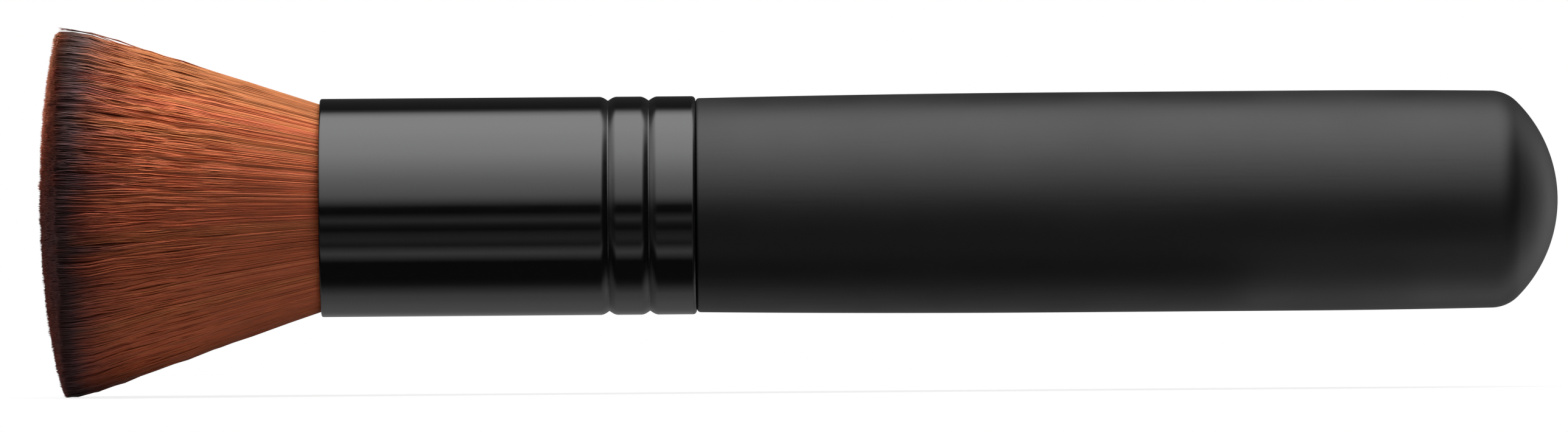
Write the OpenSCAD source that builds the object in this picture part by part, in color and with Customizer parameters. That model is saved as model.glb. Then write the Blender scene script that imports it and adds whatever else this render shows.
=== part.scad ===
// Flat-topped kabuki face brush, in millimetres.
// A flared tuft of synthetic fibre is tied, its roots are set in epoxy in a drawn
// aluminium ferrule, and the ferrule is crimped onto the tenon of a turned handle.
// Every piece is a body of revolution or a bundle about one axis. Distances along
// that axis are measured from the ferrule's mouth, positive towards the handle.

/* [Ferrule] */
// Outside diameter of the ferrule tube
ferrule_od = 22; // [19:0.5:26]
// Wall of the drawn aluminium tube
ferrule_wall = 0.5; // [0.4:0.05:0.8]
// Length of the ferrule from its mouth to the handle's shoulder
ferrule_len = 37.8; // [34:0.2:46]
// Rounding of both edges of the burnished mouth
lip_r = 0.2; // [0.1:0.02:0.2]
// Rounding of the outer edge at the handle end
end_roll_r = 0.4; // [0.2:0.05:0.4]
// Depth of the two rolled crimps
crimp_depth = 0.4; // [0.2:0.05:0.6]
// Width of each crimp along the ferrule
crimp_w = 1.8; // [1.2:0.1:2.4]
// Distance from the handle end of the ferrule to the middle of the front crimp
front_crimp_back = 8.8; // [7.6:0.1:11]
// Distance from the handle end of the ferrule to the middle of the rear crimp
rear_crimp_back = 4.7; // [3:0.1:5.6]

/* [Handle] */
// Length of the handle that shows behind the ferrule
handle_len = 86.8; // [80:0.2:110]
// How far the handle's shoulder lies inside the ferrule's outside
shoulder_step = 0.2; // [0.05:0.05:0.6]
// Rounding of the shoulder's edge
shoulder_edge_r = 0.4; // [0.2:0.1:1]
// How far the straight grip, the widest part of the handle, stands proud of the ferrule
grip_proud = 0.1; // [0.05:0.05:1.5]
// Distance from the shoulder to the start of the straight grip
grip_from = 37; // [25:0.5:45]
// Length of the straight grip
grip_len = 24.6; // [15:0.2:28]
// How far the handle has drawn in from the grip where the rounding of the butt starts
butt_drop = 0.15; // [0.05:0.05:0.8]
// Radius of the domed butt
dome_r = 13.9; // [13:0.1:18]
// Rounding between the side of the handle and the dome
butt_edge_r = 3.8; // [2:0.1:5]
// Length of the tenon inside the ferrule
tenon_len = 14; // [11.5:0.5:15]
// Chamfer on the tenon's leading edge
tenon_chamfer = 1; // [0.5:0.1:1.4]

/* [Tenon glue] */
// Thickness of the glue film between the tenon and the ferrule
glue_film = 0.1; // [0.06:0.01:0.2]

/* [Tuft] */
// Length of fibre that shows in front of the ferrule, at the middle
tuft_out = 28.3; // [24:0.1:34]
// Diameter of the tuft across the rim of its flat top
head_d = 36.6; // [30:0.2:42]
// How far the middle of the flat top stands proud of its rim
face_rise = 1.9; // [0.5:0.1:3]
// How far the cut of the flat top rolls over at the very rim
rim_drop = 0.5; // [0.2:0.1:1.2]
// Length of the tips over which the outer fibres curl inwards
curl_len = 2.6; // [2:0.2:6]
// Share of the flare that the outermost fibres lose over that length
tip_curl = 0.8; // [0:0.05:0.9]
// How far the strands are sunk into the packed roots
strand_sink = 0.6; // [0.3:0.1:0.7]
// Rings of strands round the middle one
strand_rings = 11; // [10:1:11]
// Thickness of a strand as a share of the spacing between strands
strand_fill = 0.8; // [0.6:0.02:0.86]

/* [Roots] */
// How far inside the mouth the fibres are pressed into one mass
roots_from = 0.4; // [0.2:0.1:1]
// Thickness of the slice of packed roots in front of the plug
root_slice = 1; // [0.8:0.1:1.6]
// Gap between the packed roots and the ferrule's bore
root_clear = 0.05; // [0.02:0.01:0.1]
// Distance from the ferrule's mouth to the back of the plug of roots and epoxy
plug_back = 19; // [15:0.5:19.5]
// How far the plug's back face dips at its middle
meniscus = 0.8; // [0.2:0.1:1.5]

/* [Binding] */
// Diameter of the thread that ties the fibre roots
thread_d = 0.6; // [0.4:0.05:0.8]
// Turns of thread side by side
thread_turns = 3; // [2:1:5]
// Distance from the ferrule's mouth to the front of the binding
binding_from = 8; // [5:0.5:9]

/* [Hidden] */

// The smoothness of every turned surface
$fn = 128;

// Radii worked out from the diameters
ferrule_r = ferrule_od / 2;
bore_r = ferrule_r - ferrule_wall;
tenon_r = bore_r - glue_film;
shoulder_r = ferrule_r - shoulder_step;
grip_r = ferrule_r + grip_proud;
butt_r = grip_r - butt_drop;
head_r = head_d / 2;

// Stations along the axis
front_crimp = ferrule_len - front_crimp_back;
rear_crimp = ferrule_len - rear_crimp_back;
tenon_front = ferrule_len - tenon_len;
shoulder = ferrule_len;
grip_start = shoulder + grip_from;
grip_end = grip_start + grip_len;
butt_end = shoulder + handle_len;
total_len = tuft_out + butt_end;

// Steps in the curves of the turned profiles
crimp_steps = 12;
edge_steps = 6;
side_steps = 8;
butt_steps = 10;

// Puts a piece that is modelled along +Z on the brush's axis, which lies along X
// above the lowest point of the rim, with the tuft towards -X.
module on_axis()
    translate([tuft_out - total_len / 2, 0, head_r])
    rotate([0, 90, 0])
    children();

// Turns an outline of [radius, station] points about the axis.
module turned(outline)
    rotate_extrude()
    polygon(outline);

// Points of an arc from angle a0 to a1, with 0 pointing outwards and 90 to the butt.
function arc(centre, r, a0, a1, steps) =
    [for (i = [0:steps])
        let (a = a0 + (a1 - a0) * i / steps)
        centre + r * [cos(a), sin(a)]];

function reversed(list) = [for (i = [len(list) - 1:-1:0]) list[i]];

// How far a crimp centred at c presses the wall in at station s. The roller leaves a
// sharp valley between two rounded shoulders: one less the sine of the way out of it.
function crimp_at(s, c) =
    abs(s - c) < crimp_w / 2 ? crimp_depth * (1 - sin(180 * abs(s - c) / crimp_w)) : 0;

// The line of both crimps on a surface of radius r.
function crimped_line(r) =
    [for (c = [front_crimp, rear_crimp], i = [0:crimp_steps])
        let (s = c + crimp_w * (i / crimp_steps - 0.5))
        [r - crimp_at(s, c), s]];

// The drawn tube, with a burnished lip at its mouth and two crimps over the tenon.
module ferrule() {
    outer = concat(
        arc([ferrule_r - lip_r, lip_r], lip_r, -90, 0, edge_steps),
        crimped_line(ferrule_r),
        arc([ferrule_r - end_roll_r, ferrule_len - end_roll_r], end_roll_r, 0, 90, edge_steps));
    inner = concat(
        arc([bore_r + lip_r, lip_r], lip_r, 270, 180, edge_steps),
        crimped_line(bore_r),
        [[bore_r, ferrule_len]]);
    color([0.04, 0.04, 0.045])
    on_axis()
    turned(concat(outer, reversed(inner)));
}

// The turned handle: a tenon that the crimps bite into, then a long slight barrel
// with a straight grip at its widest, and a domed butt.
module handle() {
    // Centre of the dome and of the ring that rounds the side into it
    dome_at = butt_end - dome_r;
    ring_r = butt_r - butt_edge_r;
    ring_at = dome_at + sqrt(pow(dome_r - butt_edge_r, 2) - pow(ring_r, 2));
    meet = atan2(ring_at - dome_at, ring_r);
    tenon = concat(
        [[0, tenon_front],
         [tenon_r - tenon_chamfer, tenon_front],
         [tenon_r, tenon_front + tenon_chamfer]],
        crimped_line(tenon_r),
        [[tenon_r, shoulder]]);
    edge = arc([shoulder_r - shoulder_edge_r, shoulder + shoulder_edge_r],
               shoulder_edge_r, -90, 0, edge_steps);
    swell_from = shoulder + shoulder_edge_r;
    swell = [for (i = [1:side_steps])
        let (u = 1 - i / side_steps)
        [grip_r - (grip_r - shoulder_r) * u * u,
         grip_start - (grip_start - swell_from) * u]];
    fall = [for (i = [0:side_steps - 1])
        let (u = i / side_steps)
        [grip_r - (grip_r - butt_r) * u * u, grip_end + (ring_at - grip_end) * u]];
    butt = concat(
        arc([ring_r, ring_at], butt_edge_r, 0, meet, butt_steps),
        arc([0, dome_at], dome_r, meet + (90 - meet) / butt_steps, 90, butt_steps - 1));
    color([0.09, 0.09, 0.095])
    on_axis()
    turned(concat(tenon, edge, swell, fall, butt));
}

// The cured film that bonds the tenon into the ferrule and follows both crimps.
module tenon_glue() {
    film_from = tenon_front + tenon_chamfer;
    outer = concat([[bore_r, film_from]], crimped_line(bore_r), [[bore_r, shoulder]]);
    inner = concat([[tenon_r, film_from]], crimped_line(tenon_r), [[tenon_r, shoulder]]);
    color([0.85, 0.78, 0.55])
    on_axis()
    turned(concat(outer, reversed(inner)));
}

// The radius of the packed roots, and of the waist that the thread draws in.
roots_r = bore_r - root_clear;
waist_r = roots_r - thread_d;
binding_w = thread_turns * thread_d;
plug_front = roots_from + root_slice;

// The fibre roots, set in epoxy that fills the bore round and behind them. The back
// face is the hollow one that a liquid leaves when it wets the wall.
module root_plug() {
    hollow = [for (i = [0:edge_steps])
        let (u = 1 - i / edge_steps)
        [bore_r * u, plug_back - meniscus * (1 - u * u)]];
    color([0.5, 0.36, 0.2])
    on_axis()
    turned(concat(
        [[0, plug_front],
         [bore_r, plug_front],
         [bore_r, binding_from],
         [waist_r, binding_from],
         [waist_r, binding_from + binding_w],
         [bore_r, binding_from + binding_w]],
        hollow));
}

// The thread that ties the roots, with a ridge for each turn.
module root_binding() {
    ridges = [for (t = [0:thread_turns - 1])
        each arc([roots_r - thread_d / 2, binding_from + (t + 0.5) * thread_d],
                 thread_d / 2, -75, 75, edge_steps)];
    color([0.9, 0.88, 0.82])
    on_axis()
    turned(concat([[waist_r, binding_from]], ridges, [[waist_r, binding_from + binding_w]]));
}

// The middle strand and its rings fill the mouth evenly. Ring k has 6 k strands.
strand_pitch = roots_r / (strand_rings + strand_fill / 2);
strand_half = strand_pitch * strand_fill / 2;
// Turning each ring by the golden angle keeps the strands out of spokes
golden = 137.508;

// The rim's fibres are cut rim_out from the mouth, and curl over the last curl_len
rim_out = tuft_out - face_rise - rim_drop;
curl_from = rim_out - curl_len;
flare = (head_r - roots_r) / (curl_from + (1 - tip_curl) * curl_len);
// The cut rolls over at the rim as this power of the way out
rim_power = 12;

// Length in front of the mouth of a fibre that starts at share q of the way out.
function cut_at(q) = tuft_out - face_rise * q * q - rim_drop * pow(q, rim_power);

// Where a fibre that leaves the mouth at p is when it is t in front of it. All
// flare from one apex, so none cross, and the outer ones curl in near their tips.
function fibre_point(p, t) =
    let (q = norm(p) / roots_r,
         plain = min(t, curl_from),
         curled = max(0, t - curl_from),
         spread = 1 + flare * (plain + (1 - tip_curl * q * q) * curled) / roots_r)
    [p[0] * spread, p[1] * spread, -t];

// The four corners of the strand at angle a and radius r in the mouth.
function strand_corners(r, a) =
    [for (i = [0:3])
        [r * cos(a) + strand_half * cos(a + 90 * i), r * sin(a) + strand_half * sin(a + 90 * i)]];

// Three rings of corners for each strand: sunk in the roots, at the curl, at the cut.
function strand_points(r, a) =
    let (corners = strand_corners(r, a))
    concat(
        [for (p = corners) fibre_point(p, -strand_sink - roots_from)],
        [for (p = corners) fibre_point(p, curl_from)],
        [for (p = corners) fibre_point(p, cut_at(norm(p) / roots_r))]);

// Triangles over a strand whose first point is number n.
function strand_faces(n) =
    concat(
        [[n, n + 3, n + 2], [n, n + 2, n + 1]],
        [for (ring = [0, 4], i = [0:3], half = [0, 1])
            let (a = n + ring + i, b = n + ring + (i + 1) % 4)
            half == 0 ? [a, b, b + 4] : [a, b + 4, a + 4]],
        [[n + 8, n + 9, n + 10], [n + 8, n + 10, n + 11]]);

// The tuft: strands that fan out to the flat top, fused to a slice of their packed roots.
module bristles() {
    places = concat(
        [[0, 0]],
        [for (k = [1:strand_rings], j = [0:6 * k - 1])
            [k * strand_pitch, 60 * j / k + golden * k]]);
    color([0.62, 0.27, 0.12])
    on_axis()
    union() {
        turned([[0, roots_from], [roots_r, roots_from], [roots_r, plug_front], [0, plug_front]]);
        polyhedron(
            points = [for (p = places) each strand_points(p[0], p[1])],
            faces = [for (i = [0:len(places) - 1]) each strand_faces(12 * i)]);
    }
}

bristles();
root_plug();
root_binding();
ferrule();
tenon_glue();
handle();
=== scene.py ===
# A flat-topped kabuki face brush, lying on a pale floor in plain studio light.
# Lengths are in metres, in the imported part's frame: the brush's axis lies along X, the
# tuft points towards -X, and the lowest point of its rim is at Z = 0.
import math

import bpy
import numpy as np
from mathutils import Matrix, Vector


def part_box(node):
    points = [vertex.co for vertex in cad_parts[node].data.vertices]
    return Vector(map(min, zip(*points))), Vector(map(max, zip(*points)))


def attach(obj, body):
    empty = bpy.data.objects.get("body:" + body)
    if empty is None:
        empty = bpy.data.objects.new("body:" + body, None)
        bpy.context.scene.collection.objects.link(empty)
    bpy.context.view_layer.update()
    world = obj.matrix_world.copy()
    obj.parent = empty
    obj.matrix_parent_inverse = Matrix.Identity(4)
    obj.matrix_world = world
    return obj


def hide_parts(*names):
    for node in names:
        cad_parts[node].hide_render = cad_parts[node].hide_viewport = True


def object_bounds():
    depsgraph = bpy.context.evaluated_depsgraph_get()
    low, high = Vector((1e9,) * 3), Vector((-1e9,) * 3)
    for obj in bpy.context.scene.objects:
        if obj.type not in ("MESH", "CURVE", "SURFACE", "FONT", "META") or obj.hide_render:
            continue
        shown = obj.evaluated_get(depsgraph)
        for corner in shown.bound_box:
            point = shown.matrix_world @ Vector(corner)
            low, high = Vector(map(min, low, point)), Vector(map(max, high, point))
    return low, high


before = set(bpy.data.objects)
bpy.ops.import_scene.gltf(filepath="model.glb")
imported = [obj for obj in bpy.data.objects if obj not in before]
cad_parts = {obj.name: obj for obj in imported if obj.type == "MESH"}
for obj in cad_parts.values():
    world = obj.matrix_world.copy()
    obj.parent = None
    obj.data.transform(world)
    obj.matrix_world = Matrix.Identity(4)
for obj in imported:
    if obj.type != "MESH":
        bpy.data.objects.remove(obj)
cad_low, cad_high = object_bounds()


# Tuft
# One bundle of dyed synthetic fibre: orange-brown, with a dark band just behind reddish
# tips. It leaves the ferrule packed tight, fans out from there as a straight-sided cone,
# and its top is cut flat with a slight dome.
MM = 0.001
ferrule_low, ferrule_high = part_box("ferrule")
tuft_low, tuft_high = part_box("bristles")
axis_z = (ferrule_low.z + ferrule_high.z) / 2
mouth_x = ferrule_low.x
ferrule_r = (ferrule_high.z - ferrule_low.z) / 2
ferrule_wall = 0.5 * MM
root_clear = 0.05 * MM
bore_r = ferrule_r - ferrule_wall
roots_r = bore_r - root_clear
tuft_out = mouth_x - tuft_low.x
head_r = (tuft_high.y - tuft_low.y) / 2
face_rise = 1.9 * MM
rim_drop = 0.2 * MM
rim_power = 12
curl_len = 2.6 * MM
tip_curl = 0.8
curl_from = tuft_out - face_rise - rim_drop - curl_len
# The cone is wider by this much, since locks draw their outer fibres in
drawn_in = 0.15 * MM
flare = (head_r + drawn_in - roots_r) / (curl_from + (1 - tip_curl) * curl_len)
# Under its own weight and from use, the loose end hangs a little below the axis
droop = 0.55 * MM
droop_power = 1.5
inner_count = 36000
coat_count = 8000
fibre_count = inner_count + coat_count
fibre_r = 0.06 * MM
foot_len = 0.15 * MM
tip_len = 0.12 * MM
golden = math.radians(137.508)
chance = np.random.default_rng(11)


def cut_at(q):
    """Length in front of the mouth of a fibre that starts at share q of the way out.
    It falls with the square of q, and rolls over at the very rim."""
    return tuft_out - face_rise * q**2 - rim_drop * q**rim_power


def fan_out(y, z, t):
    """Where a fibre that leaves the mouth at (y, z) from the axis is when it is t in front
    of the mouth. Its distance from the axis grows in proportion, as if all fibres came
    from one apex, and over the last few millimetres the outer ones lose most of that. The
    whole tuft is bent down in proportion to its length out to the power 1.5, and a cross
    section tips half as far as the bent axis does."""
    q = np.hypot(y, z) / roots_r
    plain = np.minimum(t, curl_from)
    curled = np.maximum(t - curl_from, 0)
    spread = 1 + flare * (plain + (1 - tip_curl * np.minimum(q, 1) ** 2) * curled) / roots_r
    out = np.maximum(t / tuft_out, 0)
    half_slope = 0.5 * droop_power * droop / tuft_out * out ** (droop_power - 1)
    x = mouth_x - t - half_slope * z * spread
    return np.stack([x, y * spread, axis_z + z * spread - droop * out**droop_power], axis=-1)


def sunflower(count, jitter):
    """Count points spread evenly over the mouth: point i lies at the square root of its
    share of the way out, turned by the golden angle from the one before, and is then moved
    at random by up to jitter times the distance between neighbours."""
    i = np.arange(count) + 0.5
    pitch = roots_r * math.sqrt(math.pi / count)
    r = (roots_r - pitch / 2) * np.sqrt(i / count)
    places = np.stack([r * np.cos(i * golden), r * np.sin(i * golden)], axis=1)
    return places + chance.uniform(-jitter, jitter, (count, 2)) * pitch


def nearest(points, centres):
    """The number of the centre nearest to each point, a few thousand points at a time."""
    found = [
        np.argmin(((part[:, None] - centres[None]) ** 2).sum(axis=2), axis=1)
        for part in np.array_split(points, 12)
    ]
    return np.concatenate(found)


def mesh_of(name, points, faces, smooth=True):
    """A mesh object from an array of points and a list of face arrays, each array holding
    faces of one number of corners."""
    data = bpy.data.meshes.new(name)
    corners = np.concatenate([f.ravel() for f in faces]).astype(np.int32)
    sizes = np.concatenate([np.full(len(f), f.shape[1]) for f in faces]).astype(np.int32)
    data.vertices.add(len(points))
    data.vertices.foreach_set("co", points.astype(np.float32).ravel())
    data.loops.add(len(corners))
    data.loops.foreach_set("vertex_index", corners)
    data.polygons.add(len(sizes))
    data.polygons.foreach_set("loop_start", np.cumsum(sizes) - sizes)
    data.polygons.foreach_set("loop_total", sizes)
    data.polygons.foreach_set("use_smooth", np.full(len(sizes), smooth))
    data.update(calc_edges=True)
    piece = bpy.data.objects.new(name, data)
    bpy.context.scene.collection.objects.link(piece)
    return piece


def write_on_points(piece, name, values):
    """Gives the mesh an attribute with one value a point, for its material to read."""
    layer = piece.data.attributes.new(name, "FLOAT", "POINT")
    layer.data.foreach_set("value", np.asarray(values, np.float32).ravel())


# Fibres cling together in locks. Each lock has its own middle, pull, drift and shade.
lock_count = 1900
lock_middle = sunflower(lock_count, 0.45)
lock_pull = chance.uniform(0.0, 0.2, lock_count)
lock_drift = chance.normal(0, 0.045 * MM, (lock_count, 2))
lock_tone = chance.normal(0, 1, lock_count)
lock_hue = chance.normal(0, 1, lock_count)
lock_cut = chance.normal(0, 0.08 * MM, lock_count)
lock_dip = 0.02 - np.abs(chance.normal(0, 0.17, lock_count))
lock_wave = chance.uniform(6 * MM, 11 * MM, (lock_count, 1))
lock_phase = chance.uniform(0, 2 * np.pi, (lock_count, 2))
wave_reach = 0.07 * MM
wander_power = 1.5

# The bundle is packed closer in its outer coat than within
coat_r = (roots_r - fibre_r) * (1 - 0.05 * chance.uniform(0, 1, coat_count) ** 1.5)
coat_angle = np.arange(coat_count) * golden
fibre_start = np.concatenate([
    sunflower(inner_count, 0.3),
    np.stack([coat_r * np.cos(coat_angle), coat_r * np.sin(coat_angle)], axis=1),
])
fibre_lock = nearest(fibre_start, lock_middle)
fibre_wander = chance.normal(0, 0.03 * MM, (fibre_count, 2))
fibre_tone = 0.5 + 0.04 * lock_tone[fibre_lock] + 0.035 * chance.normal(0, 1, fibre_count)
# Towards the top of the tuft the colour is painted yellower, a painted highlight where the
# softbox falls, and the dark band is wider. The red of the tips is painted further back
# there, painted light, and a little below the middle it is shortest, painted shade. The
# last quarter of the way to the top and to the bottom counts as the tuft's edge.
fibre_up = fibre_start[:, 1] / roots_r
fibre_high = np.maximum(fibre_up, 0)
edge_from = 0.75
fibre_edge = np.maximum(np.abs(fibre_up) - edge_from, 0) / (1 - edge_from)
painted_tip_light = 0.55 * fibre_high - 0.3 * np.maximum(1 - 2 * np.abs(fibre_up + 0.15), 0)
fibre_hue_and_painted_highlight = 0.5 + 0.4 * fibre_high + 0.08 * lock_hue[fibre_lock]
fibre_hue_and_painted_highlight += 0.08 * chance.normal(0, 1, fibre_count)
fibre_dip = np.exp(lock_dip[fibre_lock] - 0.2 * fibre_high + chance.normal(0, 0.09, fibre_count))
fibre_phase = lock_phase[fibre_lock] + chance.normal(0, 0.8, (fibre_count, 2))
fibre_cut = (
    cut_at(np.minimum(np.hypot(*fibre_start.T) / roots_r, 1))
    - tip_len
    + lock_cut[fibre_lock]
    - chance.exponential(0.12 * MM, fibre_count)
)

# A few fibres at the side have sprung loose, three of them right at the top
fibre_loose = np.zeros(fibre_count)
start_share = np.hypot(*fibre_start.T) / roots_r
at_side = np.flatnonzero(start_share > 0.965)
loose_count = 26
looseness = chance.uniform(0.006, 0.03, loose_count)
fibre_loose[chance.choice(at_side, loose_count, replace=False)] = looseness
fibre_loose[at_side[np.argsort(fibre_start[at_side, 1])[-3:]]] = (0.02, 0.034, 0.028)


def fibre_line(chosen, t):
    """Points of the chosen fibres at distances t in front of the mouth, one row a fibre.
    A fibre draws in towards its lock's middle, and both wander off, in proportion to how far
    out it is to the power 1.5, and it waves from side to side as a sine of the distance. One
    that would leave the cone is let out a quarter as far, unless it has sprung loose."""
    out = np.clip(t / tuft_out, 0, 1)[..., None] ** wander_power
    start = fibre_start[chosen][:, None]
    lock = fibre_lock[chosen]
    pull = (lock_middle[lock][:, None] - start) * lock_pull[lock][:, None, None]
    phase = 2 * np.pi * t[..., None] / lock_wave[lock][:, None] + fibre_phase[chosen][:, None]
    wave = np.minimum(out * 3, 1) * wave_reach * np.sin(phase)
    drift = lock_drift[lock][:, None] + fibre_wander[chosen][:, None]
    moved = start + out * (pull + drift) + wave
    q = np.linalg.norm(moved, axis=2) / roots_r
    held = np.where(q > 1, (1 + (q - 1) * 0.25) / q, 1)
    held += fibre_loose[chosen][:, None] * out[..., 0]
    return fan_out(moved[..., 0] * held, moved[..., 1] * held, t)


def bake_places(count, shares):
    """Places on the bake map for the corners of count fibres with rings at the shares. The
    fibres lie side by side in rows, each with its length up the row. First come the four
    corners of every side, then the three of every foot, then the three of every tip."""
    rows = 14
    columns = math.ceil(count / rows)
    # A fibre's three sides span 0.8 of its column, and its rings 0.9 of its row
    left = (np.arange(count) % columns)[:, None, None] / columns
    floor = (np.arange(count) // columns)[:, None, None] / rows
    strip = 0.8 / columns / 3
    up = (0.04 + 0.9 * shares) / rows
    u_low = 0.1 / columns + strip * np.arange(3)
    u_high = u_low + strip
    side_u = np.stack([u_low, u_high, u_high, u_low], axis=1)
    side_v = np.stack([up[:-1], up[:-1], up[1:], up[1:]], axis=1)[:, None]
    foot_u = np.stack([u_high, u_low, (u_low + u_high) / 2], axis=1)
    foot_v = np.array([up[0], up[0], up[0] - 0.03 / rows])
    tip_v = np.array([up[-1], up[-1], up[-1] + 0.05 / rows])
    all_sides, all_ends = (count, len(shares) - 1, 3, 4), (count, 3, 3)
    places = [
        (left[..., None] + side_u, floor[..., None] + side_v, all_sides),
        (left + foot_u, floor + foot_v, all_ends),
        (left + foot_u[:, [1, 0, 2]], floor + tip_v, all_ends),
    ]
    return np.concatenate([
        np.stack([np.broadcast_to(u, shape).ravel(), np.broadcast_to(v, shape).ravel()], axis=1)
        for u, v, shape in places
    ])


# Painted shade and painted light along the tuft's edges: along its top edge the colour is
# made darker, out to 21 mm in front of the mouth, and along its bottom edge lighter, as if
# lit from the floor below, from 8 mm in front of it on. Either fades in over 7 mm.
painted_shade_to = 21 * MM
painted_light_from = 8 * MM
painted_fade_len = 7 * MM


def fibres(name, chosen, from_t, shares):
    """Three-sided fibres, pointed at both ends. Ring j of a fibre lies at share j of the way
    from from_t to its cut, its corners a fibre's radius from the centre line at 0, 120 and
    240 degrees from a start that differs from fibre to fibre."""
    shares = np.asarray(shares)
    count, rings = len(chosen), len(shares)
    start, end = from_t[:, None], fibre_cut[chosen][:, None]
    t = start + shares * (end - start)
    foot_t, tip_t = start - foot_len, end + tip_len
    thick = fibre_r * np.interp(shares, [0, 0.5, 0.94, 1], [0.85, 1.05, 0.95, 0.6])
    turn = chance.uniform(0, 2 * np.pi, (count, 1, 1)) - np.arange(3) * 2 * np.pi / 3
    ring = np.repeat(fibre_line(chosen, t)[:, :, None], 3, axis=2)
    ring[..., 1] += np.cos(turn) * thick[None, :, None]
    ring[..., 2] += np.sin(turn) * thick[None, :, None]
    ends = [fibre_line(chosen, foot_t), fibre_line(chosen, tip_t)]
    points = np.concatenate([ring.reshape(count, -1, 3), *ends], axis=1)
    # Faces, by the number of a point within its fibre
    per_fibre = rings * 3 + 2
    first = np.arange(count)[:, None] * per_fibre
    low, high = np.arange(3), (np.arange(3) + 1) % 3
    ring_first = np.arange(rings - 1)[:, None] * 3
    a, b = (ring_first + low).ravel(), (ring_first + high).ravel()
    last = (rings - 1) * 3
    foot, tip = np.full(3, rings * 3), np.full(3, rings * 3 + 1)
    sides = first[..., None] + np.stack([a, b, b + 3, a + 3], axis=1)
    feet = first[..., None] + np.stack([high, low, foot], axis=1)
    tips = first[..., None] + np.stack([last + low, last + high, tip], axis=1)
    faces = [sides.reshape(-1, 4), feet.reshape(-1, 3), tips.reshape(-1, 3)]
    piece = mesh_of(name, points.reshape(-1, 3), faces)
    layer = piece.data.uv_layers.new(name="OFBake")
    layer.uv.foreach_set("vector", bake_places(count, shares).astype(np.float32).ravel())
    # What the dye reads: the distance behind the tuft's front before its rim was cut back.
    # A quarter of the dome came from that cut, so the rim has lost most of its red tips.
    out = np.concatenate([np.repeat(t, 3, axis=1), foot_t, tip_t], axis=1)
    face = 0.25 * tuft_out + 0.75 * cut_at(np.minimum(start_share[chosen], 1))
    # Less each fibre's shift by height, which lets the red of the tips reach further back
    # towards the top of the tuft and cuts it short a little below the middle: painted light and
    # painted shade.
    dip = (face[:, None] - out) / MM * fibre_dip[chosen][:, None] - painted_tip_light[chosen][:, None]
    write_on_points(piece, "dip", dip)
    # Painted shade on the top edge and painted light on the bottom edge, added to each fibre's
    # own random tone.
    top_painted_shade = -0.6 * np.clip((painted_shade_to - out) / painted_fade_len, 0, 1)
    bottom_painted_light = 0.7 * np.clip((out - painted_light_from) / painted_fade_len, 0, 1)
    edge_painted_light = np.where(fibre_up[chosen][:, None] > 0, top_painted_shade, bottom_painted_light) * fibre_edge[chosen][:, None]
    write_on_points(piece, "tone", (fibre_tone[chosen][:, None] + edge_painted_light).clip(-0.2, 1.2))
    write_on_points(piece, "hue", np.repeat(fibre_hue_and_painted_highlight[chosen].clip(0, 1), per_fibre))
    root = np.broadcast_to(fibre_start[chosen][:, None] / MM, (count, per_fibre, 2))
    strand = np.concatenate([out[..., None] / MM, root], axis=2)
    layer = piece.data.attributes.new("strand", "FLOAT_VECTOR", "POINT")
    layer.data.foreach_set("vector", strand.astype(np.float32).ravel())
    return piece


def node(tree, kind, **settings):
    """A new shader node. A setting named in_3 sets input 3, and any other an attribute."""
    made = tree.nodes.new(kind)
    for key, value in settings.items():
        if key.startswith("in_"):
            made.inputs[int(key[3:])].default_value = value
        else:
            setattr(made, key, value)
    return made


def ramp(tree, stops):
    """A colour ramp with the given (position, colour) stops."""
    made = tree.nodes.new("ShaderNodeValToRGB")
    band = made.color_ramp
    while len(band.elements) < len(stops):
        band.elements.new(0.5)
    for element, (position, colour) in zip(band.elements, stops):
        element.position = position
        element.color = (*colour, 1)
    return made


def surface(name):
    """A new material, its node tree and its Principled shader."""
    material = bpy.data.materials.new(name)
    material.use_nodes = True
    tree = material.node_tree
    return material, tree, tree.nodes["Principled BSDF"]


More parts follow.
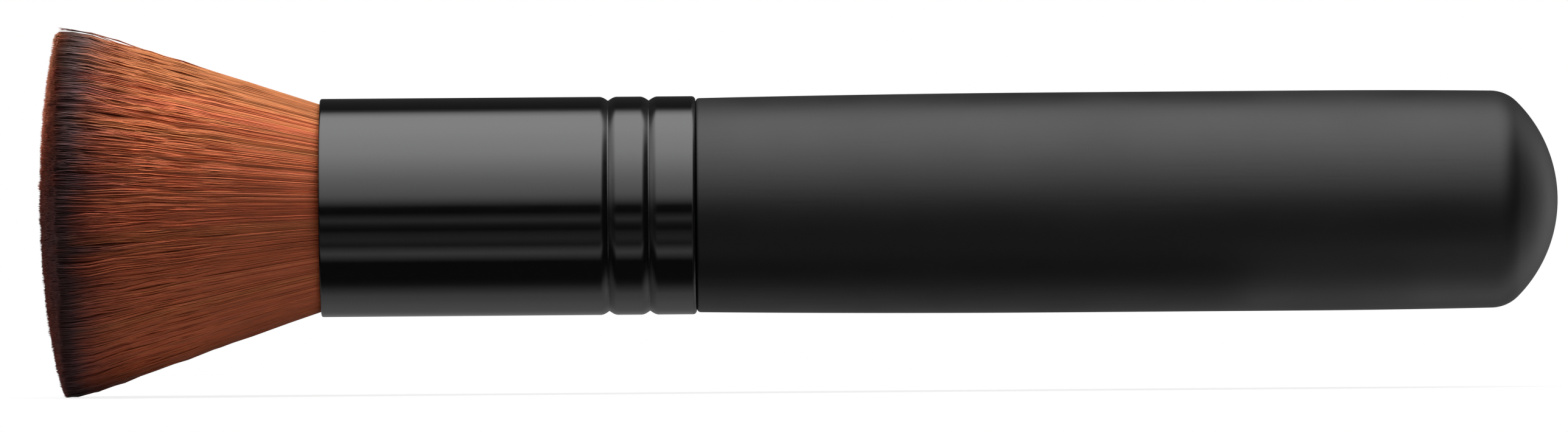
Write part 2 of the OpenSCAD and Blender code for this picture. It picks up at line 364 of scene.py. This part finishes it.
def dyed_fibre_and_painted_light():
    """The dye by distance behind the tuft's front, in millimetres, then each fibre's shade and
    tint, and short streaks that run along the fibres. Shade and tint carry each fibre's own
    random tone, and also painted shade and light along the tuft's edges and a painted
    highlight, yellower, towards its top. The cut tips are matte."""
    material, tree, shader = surface("dyed_fibre_and_painted_light")
    join = tree.links.new
    dip = node(tree, "ShaderNodeAttribute", attribute_name="dip")
    along = node(tree, "ShaderNodeMapRange", in_1=-0.36, in_2=11.64)
    # Its first stop, a brighter red than the tips' own, is reached almost only by the tips
    # painted lighter towards the top of the tuft: painted light.
    dye = ramp(tree, [
        (0.0, (0.9, 0.3, 0.22)),
        (0.03, (0.42, 0.1, 0.062)),
        (0.04, (0.17, 0.038, 0.025)),
        (0.057, (0.095, 0.023, 0.017)),
        (0.09, (0.052, 0.0165, 0.0155)),
        (0.124, (0.05, 0.018, 0.019)),
        (0.156, (0.06, 0.024, 0.027)),
        (0.185, (0.08, 0.0285, 0.032)),
        (0.217, (0.125, 0.039, 0.034)),
        (0.25, (0.18, 0.048, 0.037)),
        (0.31, (0.26, 0.062, 0.039)),
        (0.375, (0.34, 0.077, 0.04)),
        (0.51, (0.45, 0.107, 0.048)),
        (0.67, (0.54, 0.128, 0.054)),
        (0.87, (0.55, 0.134, 0.057)),
    ])
    strand = node(tree, "ShaderNodeAttribute", attribute_name="strand")
    stretch = node(tree, "ShaderNodeMapping")
    stretch.inputs["Scale"].default_value = (0.24, 2.6, 2.6)
    streaks = node(tree, "ShaderNodeTexNoise")
    streaks.inputs["Scale"].default_value = 1
    streaks.inputs["Detail"].default_value = 3
    streaks.inputs["Roughness"].default_value = 0.6
    swing = node(tree, "ShaderNodeMapRange", in_1=0.25, in_2=0.75, in_3=-0.34, in_4=0.34)
    tone = node(tree, "ShaderNodeAttribute", attribute_name="tone")
    both = node(tree, "ShaderNodeMath", operation="ADD")
    shade = node(tree, "ShaderNodeMapRange", in_1=-0.2, in_2=1.2, in_3=0.51, in_4=1.49)
    shaded = node(tree, "ShaderNodeVectorMath", operation="SCALE")
    hue = node(tree, "ShaderNodeAttribute", attribute_name="hue")
    tint = ramp(tree, [(0.0, (0.95, 0.82, 0.9)), (0.5, (1, 1, 1)), (1.0, (1.0, 1.45, 1.2))])
    tinted = node(tree, "ShaderNodeVectorMath", operation="MULTIPLY")
    rough = node(tree, "ShaderNodeMapRange", in_3=0.36, in_4=0.5)
    sheen = node(tree, "ShaderNodeMapRange", in_1=0.2, in_2=1.2, in_3=0.0, in_4=0.2)
    shader.inputs["Specular Tint"].default_value = (1, 0.95, 0.85, 1)
    join(dip.outputs["Fac"], along.inputs[0])
    join(along.outputs[0], dye.inputs[0])
    join(dip.outputs["Fac"], sheen.inputs[0])
    join(sheen.outputs[0], shader.inputs["Specular IOR Level"])
    join(strand.outputs["Vector"], stretch.inputs[0])
    join(stretch.outputs[0], streaks.inputs["Vector"])
    join(streaks.outputs[0], swing.inputs[0])
    join(tone.outputs["Fac"], both.inputs[0])
    join(swing.outputs[0], both.inputs[1])
    join(both.outputs[0], shade.inputs[0])
    join(dye.outputs[0], shaded.inputs[0])
    join(shade.outputs[0], shaded.inputs["Scale"])
    join(hue.outputs["Fac"], tint.inputs[0])
    join(shaded.outputs[0], tinted.inputs[0])
    join(tint.outputs[0], tinted.inputs[1])
    join(tinted.outputs[0], shader.inputs["Base Color"])
    join(hue.outputs["Fac"], rough.inputs[0])
    join(rough.outputs[0], shader.inputs["Roughness"])
    return material


def turned(name, outline, sides, closed=False):
    """A surface turned about the brush's axis. The outline is a list of (radius, station)
    points, a station being the distance behind the ferrule's mouth. Grid point (i, j) is
    outline point i carried round by j whole shares of a turn. An open outline starts and
    ends on the axis, where its one point closes the surface with a fan."""
    r, s = np.asarray(outline, float).T
    body = slice(None) if closed else slice(1, -1)
    angle = np.arange(sides) * 2 * np.pi / sides
    ring_r, ring_s = r[body][:, None], s[body][:, None]
    rings = len(ring_r)
    x = np.broadcast_to(mouth_x + ring_s, (rings, sides))
    points = np.stack([x, ring_r * np.sin(angle), axis_z + ring_r * np.cos(angle)], axis=-1)
    points = points.reshape(-1, 3)
    i = np.arange(rings if closed else rings - 1)[:, None] * sides
    up = (i + sides) % (rings * sides)
    j, k = np.arange(sides), (np.arange(sides) + 1) % sides
    faces = [np.stack([i + k, i + j, up + j, up + k], axis=-1).reshape(-1, 4)]
    if not closed:
        poles = [[mouth_x + s[0], 0, axis_z], [mouth_x + s[-1], 0, axis_z]]
        points = np.concatenate([points, poles])
        front, back, last = rings * sides, rings * sides + 1, (rings - 1) * sides
        faces.append(np.stack([j, k, np.full(sides, front)], axis=1))
        faces.append(np.stack([last + k, last + j, np.full(sides, back)], axis=1))
    return mesh_of(name, points, faces)


fibre_surface = dyed_fibre_and_painted_light()
skin_from = 0.86
in_skin = np.flatnonzero(start_share > skin_from)
in_heart = np.flatnonzero(start_share <= skin_from)


def by_angle(chosen, parts):
    """The chosen fibres in equal groups, taken round the axis from lock to lock."""
    middle = lock_middle[fibre_lock[chosen]]
    order = np.lexsort((fibre_lock[chosen], np.arctan2(middle[:, 1], middle[:, 0])))
    return np.array_split(chosen[order], parts)


tuft_pieces = []
root_t = -1 * MM
skin_rings = [0, 0.16, 0.3, 0.42, 0.54, 0.66, 0.78, 0.88, 0.955, 0.99]
for number, group in enumerate(by_angle(in_skin, 6), 1):
    from_t = np.full(len(group), root_t)
    tuft_pieces.append(fibres(f"tuft_skin_{number}", group, from_t, skin_rings))
# Within, only the fibres' last part shows, between the tips
heart_len = 8 * MM
heart_rings = [0, 0.7, 0.97]
for number, group in enumerate(by_angle(in_heart, 3), 1):
    from_t = fibre_cut[group] - heart_len
    tuft_pieces.append(fibres(f"tuft_heart_{number}", group, from_t, heart_rings))

# Behind the fibres that show, a mass standing for the rest: a cone with a rounded end
core_share = 0.85
core_back = 0.9 * MM
core_cone = 21 * MM
core_short = 6 * MM
core_front = cut_at(0) - core_short
core_t = np.linspace(-core_back, core_cone, 24)
core_side = fan_out(core_share * roots_r, 0.0, core_t)[:, 1]
end_r = core_side[-1] * np.linspace(1, 0, 14)[1:]
end_t = core_cone + (core_front - core_cone) * np.sqrt(1 - (end_r / core_side[-1]) ** 2)
core_outline = [(0, core_back), *zip(core_side, -core_t), *zip(end_r, -end_t)]
core = turned("tuft_core", core_outline, 180)
# Its outline runs from back to front, so its faces have to be turned round
core.data.flip_normals()
core_points = np.empty(len(core.data.vertices) * 3, np.float32)
core.data.vertices.foreach_get("co", core_points)
core_points = core_points.reshape(-1, 3)
core_out = np.maximum((mouth_x - core_points[:, 0]) / tuft_out, 0)
core_points[:, 2] -= droop * core_out**droop_power
core.data.vertices.foreach_set("co", core_points.ravel())
core.data.update()
write_on_points(core, "dip", (core_points[:, 0] - mouth_x + tuft_out) / MM)
# Its tone is lower than the fibres', so the mass renders darker than they do: painted shade for
# the depth within the tuft.
write_on_points(core, "tone", chance.uniform(0, 0.3, len(core_points)))
write_on_points(core, "hue", np.full(len(core_points), 0.4))
tuft_pieces.append(core)

for piece in tuft_pieces:
    piece.data.materials.append(fibre_surface)
    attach(piece, "root")
    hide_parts("bristles")


# Root plug, binding and tenon glue
# Hidden in the ferrule: the fibre roots set in amber epoxy, the pale thread that ties
# them, and the film of the same epoxy between the ferrule and the handle's tenon.
def cured_epoxy():
    """Amber resin, cloudy in patches, with fibre streaks along the axis."""
    material, tree, shader = surface("cured_epoxy")
    join = tree.links.new
    place = node(tree, "ShaderNodeTexCoord")
    stretch = node(tree, "ShaderNodeMapping")
    stretch.inputs["Scale"].default_value = (60, 2400, 2400)
    streaks = node(tree, "ShaderNodeTexNoise")
    streaks.inputs["Detail"].default_value = 4
    amber = ramp(tree, [(0.3, (0.34, 0.2, 0.07)), (0.7, (0.66, 0.5, 0.24))])
    rough = node(tree, "ShaderNodeMapRange", in_3=0.15, in_4=0.4)
    join(place.outputs["Object"], stretch.inputs[0])
    join(stretch.outputs[0], streaks.inputs["Vector"])
    join(streaks.outputs[0], amber.inputs[0])
    join(streaks.outputs[0], rough.inputs[0])
    join(amber.outputs[0], shader.inputs["Base Color"])
    join(rough.outputs[0], shader.inputs["Roughness"])
    return material


def tying_thread():
    """Matte twisted thread: fine bands slanting across the turns."""
    material, tree, shader = surface("tying_thread")
    join = tree.links.new
    place = node(tree, "ShaderNodeTexCoord")
    twist = node(tree, "ShaderNodeTexWave")
    twist.inputs["Scale"].default_value = 900
    twist.inputs["Distortion"].default_value = 3
    cotton = ramp(tree, [(0.2, (0.5, 0.46, 0.38)), (0.8, (0.8, 0.76, 0.68))])
    relief = node(tree, "ShaderNodeBump")
    relief.inputs["Distance"].default_value = 0.05 * MM
    shader.inputs["Roughness"].default_value = 0.85
    join(place.outputs["Object"], twist.inputs["Vector"])
    join(twist.outputs["Fac"], cotton.inputs[0])
    join(twist.outputs["Fac"], relief.inputs["Height"])
    join(cotton.outputs[0], shader.inputs["Base Color"])
    join(relief.outputs[0], shader.inputs["Normal"])
    return material


def dress(piece, material):
    """Gives a CAD node one material in place of its own."""
    piece.data.materials.clear()
    piece.data.materials.append(material)


epoxy = cured_epoxy()
dress(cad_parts["root_plug"], epoxy)
dress(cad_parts["tenon_glue"], epoxy)
dress(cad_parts["root_binding"], tying_thread())


# Ferrule
# A drawn aluminium tube in glossy black lacquer, with a rounded lip at its mouth and
# two rolled crimps near the handle, which bite through the glue into the tenon.
lip_r = 0.2 * MM
end_roll_r = 0.4 * MM
ferrule_len = ferrule_high.x - ferrule_low.x
crimp_depth = 0.4 * MM
crimp_w = 1.8 * MM
crimp_middles = (ferrule_len - 8.8 * MM, ferrule_len - 4.7 * MM)
turned_sides = 224
# On a turned outline, how far from an edge the flat beside it starts, and its steps
edge_hold = 0.06 * MM
long_step = 1.5 * MM


def arc(centre, r, start, end, steps):
    """Points of an arc, its angle in degrees from outwards towards the butt."""
    a = np.radians(np.linspace(start, end, steps + 1))
    return np.stack([centre[0] + r * np.cos(a), centre[1] + r * np.sin(a)], axis=1)


def crimped(r):
    """The line of both crimps on a surface of radius r. Each is a sharp valley between two
    rounded shoulders: its depth times one less the sine of the way out of it."""
    shares = np.linspace(-0.5, 0.5, 25)
    dips = crimp_depth * (1 - np.sin(np.pi * np.abs(shares)))
    along = shares * crimp_w
    return np.concatenate([np.stack([r - dips, at + along], axis=1) for at in crimp_middles])


def eased(outline):
    """The outline with points added on its long stretches: one at edge_hold from each end,
    which keeps the shading of a rounded edge off the flat beside it, and more at even
    steps."""
    full = [outline[0]]
    for a, b in zip(outline[:-1], outline[1:]):
        length = math.dist(a, b)
        if length > 8 * edge_hold:
            steps = max(1, round((length - 2 * edge_hold) / long_step))
            inner = np.linspace(edge_hold, length - edge_hold, steps + 1)
            full += [a + (b - a) * d / length for d in inner]
        full.append(b)
    return np.array(full)


ferrule_outline = eased(np.concatenate([
    arc((ferrule_r - lip_r, lip_r), lip_r, -90, 0, 8),
    crimped(ferrule_r),
    arc((ferrule_r - end_roll_r, ferrule_len - end_roll_r), end_roll_r, 0, 90, 8),
    [(bore_r, ferrule_len)],
    crimped(bore_r)[::-1],
    arc((bore_r + lip_r, lip_r), lip_r, 180, 270, 8),
]))
ferrule = turned("ferrule_tube", ferrule_outline, turned_sides, closed=True)
# Where the tube was rolled, at the crimps and at its end, the lacquer has lost its gloss
station = ferrule_outline[:, 1]
apart = np.abs(station[:, None] - crimp_middles).min(axis=1)
rolled = np.maximum(1 - (apart / (0.5 * crimp_w)) ** 2, station > ferrule_len - end_roll_r)
write_on_points(ferrule, "rolled", np.repeat(rolled, turned_sides))


def black_lacquer():
    """Deep gloss over metal. Slow noise makes the faint orange peel of sprayed lacquer, and
    finer noise, drawn out along the tube, the haze of handling."""
    material, tree, shader = surface("black_lacquer")
    join = tree.links.new
    place = node(tree, "ShaderNodeTexCoord")
    peel = node(tree, "ShaderNodeTexNoise")
    peel.inputs["Scale"].default_value = 420
    peel.inputs["Detail"].default_value = 2
    relief = node(tree, "ShaderNodeBump")
    relief.inputs["Strength"].default_value = 0.12
    relief.inputs["Distance"].default_value = 0.02 * MM
    drawn = node(tree, "ShaderNodeMapping")
    drawn.inputs["Scale"].default_value = (250, 900, 900)
    haze = node(tree, "ShaderNodeTexNoise")
    haze.inputs["Scale"].default_value = 1
    haze.inputs["Detail"].default_value = 6
    gloss = node(tree, "ShaderNodeMapRange", in_1=0.35, in_2=0.75, in_3=0.055, in_4=0.11)
    rolled = node(tree, "ShaderNodeAttribute", attribute_name="rolled")
    rough = node(tree, "ShaderNodeMath", operation="MULTIPLY_ADD", in_1=0.2)
    shader.inputs["Base Color"].default_value = (0.0015, 0.0015, 0.0017, 1)
    shader.inputs["IOR"].default_value = 1.5
    join(place.outputs["Object"], peel.inputs["Vector"])
    join(peel.outputs[0], relief.inputs["Height"])
    join(relief.outputs[0], shader.inputs["Normal"])
    join(place.outputs["Object"], drawn.inputs[0])
    join(drawn.outputs[0], haze.inputs["Vector"])
    join(haze.outputs[0], gloss.inputs[0])
    join(rolled.outputs["Fac"], rough.inputs[0])
    join(gloss.outputs[0], rough.inputs[2])
    join(rough.outputs[0], shader.inputs["Roughness"])
    return material


ferrule.data.materials.append(black_lacquer())
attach(ferrule, "root")
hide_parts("ferrule")


# Handle
# Turned wood in a smooth satin black lacquer: a tenon inside the ferrule, a rounded
# shoulder, a long slight barrel with a straight grip at its widest, and a domed butt.
# The line printed along the real one is left off, and its place is bare.
handle_low, handle_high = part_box("handle")
grip_r = (handle_high.z - handle_low.z) / 2
shoulder_step = 0.2 * MM
shoulder_r = ferrule_r - shoulder_step
shoulder_edge_r = 0.4 * MM
grip_start = ferrule_len + 37 * MM
grip_end = grip_start + 24.6 * MM
butt_drop = 0.15 * MM
butt_r = grip_r - butt_drop
butt_end = handle_high.x - mouth_x
dome_r = 13.9 * MM
butt_edge_r = 3.8 * MM
glue_film = 0.1 * MM
tenon_r = bore_r - glue_film
tenon_front = handle_low.x - mouth_x
tenon_chamfer = 1 * MM
shoulder_at = ferrule_len + shoulder_edge_r
# The dome's centre, the middle of its rounded edge, and the angle at which the two meet
dome_at = butt_end - dome_r
ring_r = butt_r - butt_edge_r
ring_at = dome_at + math.sqrt((dome_r - butt_edge_r) ** 2 - ring_r**2)
meet = math.degrees(math.atan2(ring_at - dome_at, ring_r))


def parabola(r, s, end_r, end_s, steps):
    """Points of a line that leaves (r, s) level and bends in to (end_r, end_s), with the
    square of its share of the way. The end itself is left out."""
    u = np.linspace(0, 1, steps + 1)[:-1]
    return np.stack([r - (r - end_r) * u**2, s + (end_s - s) * u], axis=1)


handle_outline = np.concatenate([
    [(0, tenon_front), (tenon_r - tenon_chamfer, tenon_front)],
    [(tenon_r, tenon_front + tenon_chamfer)],
    crimped(tenon_r),
    arc((shoulder_r - shoulder_edge_r, shoulder_at), shoulder_edge_r, -90, 0, 10),
    parabola(grip_r, grip_start, shoulder_r, shoulder_at, 32)[::-1],
    parabola(grip_r, grip_end, butt_r, ring_at, 24),
    arc((ring_r, ring_at), butt_edge_r, 0, meet, 24),
    arc((0, dome_at), dome_r, meet, 90, 40)[1:],
])
handle_outline[-1][0] = 0
handle = turned("handle_body", eased(handle_outline), turned_sides)


def satin_lacquer():
    """Soft black lacquer on wood. Fine noise gives the surface its even tooth, slow noise
    its faint unevenness, and stretched noise the pores that the lacquer has almost filled."""
    material, tree, shader = surface("satin_lacquer")
    join = tree.links.new
    place = node(tree, "ShaderNodeTexCoord")
    tooth = node(tree, "ShaderNodeTexNoise")
    tooth.inputs["Scale"].default_value = 5200
    tooth.inputs["Detail"].default_value = 3
    pores = node(tree, "ShaderNodeMapping")
    pores.inputs["Scale"].default_value = (130, 1500, 1500)
    grain = node(tree, "ShaderNodeTexNoise")
    grain.inputs["Scale"].default_value = 1
    grain.inputs["Detail"].default_value = 5
    filled = node(tree, "ShaderNodeMapRange", in_1=0.3, in_2=0.5, in_3=0.0, in_4=1.0)
    both = node(tree, "ShaderNodeMath", operation="MULTIPLY_ADD", in_1=0.35)
    relief = node(tree, "ShaderNodeBump")
    relief.inputs["Strength"].default_value = 0.25
    relief.inputs["Distance"].default_value = 0.012 * MM
    uneven = node(tree, "ShaderNodeTexNoise")
    uneven.inputs["Scale"].default_value = 60
    uneven.inputs["Detail"].default_value = 5
    rough = node(tree, "ShaderNodeMapRange", in_1=0.3, in_2=0.7, in_3=0.4, in_4=0.52)
    black = ramp(tree, [(0.3, (0.003, 0.003, 0.0032)), (0.7, (0.005, 0.0049, 0.005))])
    shader.inputs["IOR"].default_value = 1.365
    join(place.outputs["Object"], tooth.inputs["Vector"])
    join(place.outputs["Object"], pores.inputs[0])
    join(pores.outputs[0], grain.inputs["Vector"])
    join(grain.outputs[0], filled.inputs[0])
    join(tooth.outputs[0], both.inputs[0])
    join(filled.outputs[0], both.inputs[2])
    join(both.outputs[0], relief.inputs["Height"])
    join(relief.outputs[0], shader.inputs["Normal"])
    join(place.outputs["Object"], uneven.inputs["Vector"])
    join(uneven.outputs[0], rough.inputs[0])
    join(rough.outputs[0], shader.inputs["Roughness"])
    join(uneven.outputs[0], black.inputs[0])
    join(black.outputs[0], shader.inputs["Base Color"])
    return material


handle.data.materials.append(satin_lacquer())
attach(handle, "root")
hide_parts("handle")


# Studio
# A pale floor under the brush, one wide softbox over it and a few dim cards. What glossy
# surfaces see of the room is a softbox that fades towards the camera, some dark and light
# things round the camera, and the table below with the brush's own shadow on it.
floor_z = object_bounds()[0].z
floor_half = 4.0
floor = mesh_of(
    "floor",
    np.array([[-1, -1, 0], [1, -1, 0], [1, 1, 0], [-1, 1, 0]]) * floor_half + [0, 0, floor_z],
    [np.array([[0, 1, 2, 3]])],
    smooth=False,
)
pale, tree, shader = surface("pale_floor")
join = tree.links.new
shader.inputs["Roughness"].default_value = 0.9
# To the camera the floor is pale, and plain white away from the brush. What it throws back
# is less, as from a grey table with a strip of white card under the brush, so that the
# underside and the lower half are lit as in the photograph.
path = node(tree, "ShaderNodeLightPath")
place = node(tree, "ShaderNodeTexCoord")
axes = node(tree, "ShaderNodeSeparateXYZ")
off_axis = node(tree, "ShaderNodeMath", operation="ABSOLUTE")
strip = node(tree, "ShaderNodeMapRange", in_1=0.01, in_2=0.05, in_3=0.5, in_4=0.04)
paleness = node(tree, "ShaderNodeMapRange", in_4=0.8)
distance = node(tree, "ShaderNodeVectorMath", operation="LENGTH")
far = node(tree, "ShaderNodeMapRange", in_1=0.08, in_2=0.25, in_3=0.85, in_4=1.0)
seen_far = node(tree, "ShaderNodeMath", operation="MULTIPLY")
white = node(tree, "ShaderNodeEmission")
blend = node(tree, "ShaderNodeMixShader")
join(place.outputs["Object"], axes.inputs[0])
join(axes.outputs["Y"], off_axis.inputs[0])
join(off_axis.outputs[0], strip.inputs[0])
join(path.outputs["Is Camera Ray"], paleness.inputs[0])
join(strip.outputs[0], paleness.inputs[3])
join(paleness.outputs[0], shader.inputs["Base Color"])
join(place.outputs["Object"], distance.inputs[0])
join(distance.outputs["Value"], far.inputs[0])
join(far.outputs[0], seen_far.inputs[0])
join(path.outputs["Is Camera Ray"], seen_far.inputs[1])
join(seen_far.outputs[0], blend.inputs[0])
join(shader.outputs[0], blend.inputs[1])
join(white.outputs[0], blend.inputs[2])
join(blend.outputs[0], tree.nodes["Material Output"].inputs[0])
floor.data.materials.append(pale)
floor.visible_glossy = False


def area_light(name, radiance, size, place, turn=(0, 0, 0)):
    """A rectangular light of the given radiance, unseen by the camera."""
    data = bpy.data.lights.new(name, "AREA")
    data.shape = "RECTANGLE"
    data.size, data.size_y = size
    data.energy = radiance * math.pi * size[0] * size[1]
    light = bpy.data.objects.new(name, data)
    light.location = place
    light.rotation_euler = turn
    light.visible_camera = False
    bpy.context.scene.collection.objects.link(light)
    return light


# The softbox spans these angles round the brush's axis, from the camera's side upwards.
# Glossy surfaces see the room's own softbox in its place.
lamp_angles = (65, 112)
lamp_height = 0.35
lamp_long = 1.3
lamp_near, lamp_far = (-lamp_height / math.tan(math.radians(a)) for a in lamp_angles)
softbox = area_light(
    "softbox", 5.6, (lamp_long, lamp_far - lamp_near),
    (0, (lamp_near + lamp_far) / 2, axis_z + lamp_height),
)
softbox.visible_glossy = False
# A dim white card stands facing the tips
facing_tips = (0, -math.pi / 2, 0)
front_card = area_light("front_card", 0.35, (0.5, 0.25), (-0.5, 0, 0.13), facing_tips)
front_card.visible_glossy = False
# Two more lie under the handle's last half, one over the other, so that their light sets
# in by steps
facing_up = (math.pi, 0, 0)
low_end, low_wide, low_y = 0.147, 0.022, -0.009
for low_start, low_z, radiance in ((0.045, 0.0015, 0.3), (0.062, 0.001, 0.15)):
    low_size = (low_end - low_start, low_wide)
    low_place = ((low_start + low_end) / 2, low_y, low_z)
    area_light("low_card", radiance, low_size, low_place, facing_up)

# How bright the room is by that same angle, in degrees, for glossy surfaces
brightest = 4.45
room_bands = [
    (-180, 0.25), (-145, 0.3), (-125, 0.5), (-108, 0.57), (-98, 0.33), (-90, 0.1), (-84, 0.05),
    (-60, 0.05), (-50, 0.84), (-41, 0.16), (-34, 0.32), (-28, 0.22), (-24, 0.06), (-19, 0.14),
    (-14, 0.47), (-6, 0.05), (0, 0.08), (8, 1.15), (13, 1.7), (30, 2.5), (50, 3.8), (60, 4.33),
    (72, 4.45), (86, 4.35), (98, 3.85), (110, 3.0), (116, 1.85), (123, 0.25), (128, 0.05),
    (180, 0.05),
]
world = bpy.data.worlds.new("studio")
bpy.context.scene.world = world
world.use_nodes = True
tree = world.node_tree
tree.nodes.clear()
join = tree.links.new
place = node(tree, "ShaderNodeTexCoord")
axes = node(tree, "ShaderNodeSeparateXYZ")
toward = node(tree, "ShaderNodeMath", operation="MULTIPLY", in_1=-1.0)
angle = node(tree, "ShaderNodeMath", operation="ARCTAN2")
share = node(tree, "ShaderNodeMapRange", in_1=-math.pi, in_2=math.pi)
bands = ramp(tree, [((a + 180) / 360, (v / brightest,) * 3) for a, v in room_bands])
# Past the butt's end the room is dark in front and has a lighter wall behind, and past the
# tuft it is half as bright
past_butt = node(
    tree, "ShaderNodeMapRange",
    in_1=0.4, in_2=0.78, interpolation_type="SMOOTHSTEP",
)
wall = node(
    tree, "ShaderNodeMapRange",
    in_1=0.1, in_2=0.9, in_3=0.03 / brightest, in_4=1.9 / brightest,
)
left_side = node(tree, "ShaderNodeMapRange", in_1=-0.7, in_2=-0.2, in_3=0.5, in_4=1.0)
dimmed = node(tree, "ShaderNodeVectorMath", operation="SCALE")
surround = node(tree, "ShaderNodeMix", data_type="RGBA")
room = node(tree, "ShaderNodeBackground", in_1=brightest)
white = node(tree, "ShaderNodeBackground", in_0=(1, 1, 1, 1))
ambient = node(tree, "ShaderNodeBackground", in_0=(0.02, 0.02, 0.02, 1))
path = node(tree, "ShaderNodeLightPath")
glossy_or_not = node(tree, "ShaderNodeMixShader")
camera_or_not = node(tree, "ShaderNodeMixShader")
output = node(tree, "ShaderNodeOutputWorld")
join(place.outputs["Generated"], axes.inputs[0])
join(axes.outputs["Y"], toward.inputs[0])
join(axes.outputs["Z"], angle.inputs[0])
join(toward.outputs[0], angle.inputs[1])
join(angle.outputs[0], share.inputs[0])
join(share.outputs[0], bands.inputs[0])
join(axes.outputs["X"], past_butt.inputs[0])
join(axes.outputs["Y"], wall.inputs[0])
join(past_butt.outputs[0], surround.inputs[0])
join(axes.outputs["X"], left_side.inputs[0])
join(bands.outputs[0], dimmed.inputs[0])
join(left_side.outputs[0], dimmed.inputs["Scale"])
# Inputs 6 and 7 and output 2 of a mix node are its colours
join(dimmed.outputs[0], surround.inputs[6])
join(wall.outputs[0], surround.inputs[7])
join(surround.outputs[2], room.inputs[0])
join(path.outputs["Is Glossy Ray"], glossy_or_not.inputs[0])
join(ambient.outputs[0], glossy_or_not.inputs[1])
join(room.outputs[0], glossy_or_not.inputs[2])
join(path.outputs["Is Camera Ray"], camera_or_not.inputs[0])
join(glossy_or_not.outputs[0], camera_or_not.inputs[1])
join(white.outputs[0], camera_or_not.inputs[2])
join(camera_or_not.outputs[0], output.inputs[0])


# Camera
# Square on to the brush from its side, far off and with a long lens, so that the mouth
# and the crimps show as straight lines, as in the photograph.
photo_scale = 16.305 / MM
photo_size = (2576, 710)
tip_column, butt_column = 66, 2559
axis_row_at_middle = 336.1
axis_rise = 0.00775
camera_far = 1.755
camera_data = bpy.data.cameras.new("camera")
camera_data.sensor_width = 36
camera_data.lens = 36 * camera_far / (photo_size[0] / photo_scale)
camera_data.clip_start = 0.1
camera_data.clip_end = 100
camera = bpy.data.objects.new("camera", camera_data)
middle_x = (cad_low.x + cad_high.x) / 2
camera.location = (
    middle_x + (photo_size[0] / 2 - (tip_column + butt_column) / 2) / photo_scale,
    -camera_far,
    axis_z - (photo_size[1] / 2 - axis_row_at_middle) / photo_scale,
)
camera.rotation_euler = (math.pi / 2, math.atan(axis_rise), 0)
bpy.context.scene.collection.objects.link(camera)
bpy.context.scene.camera = camera
bpy.context.scene.view_settings.view_transform = "Standard"
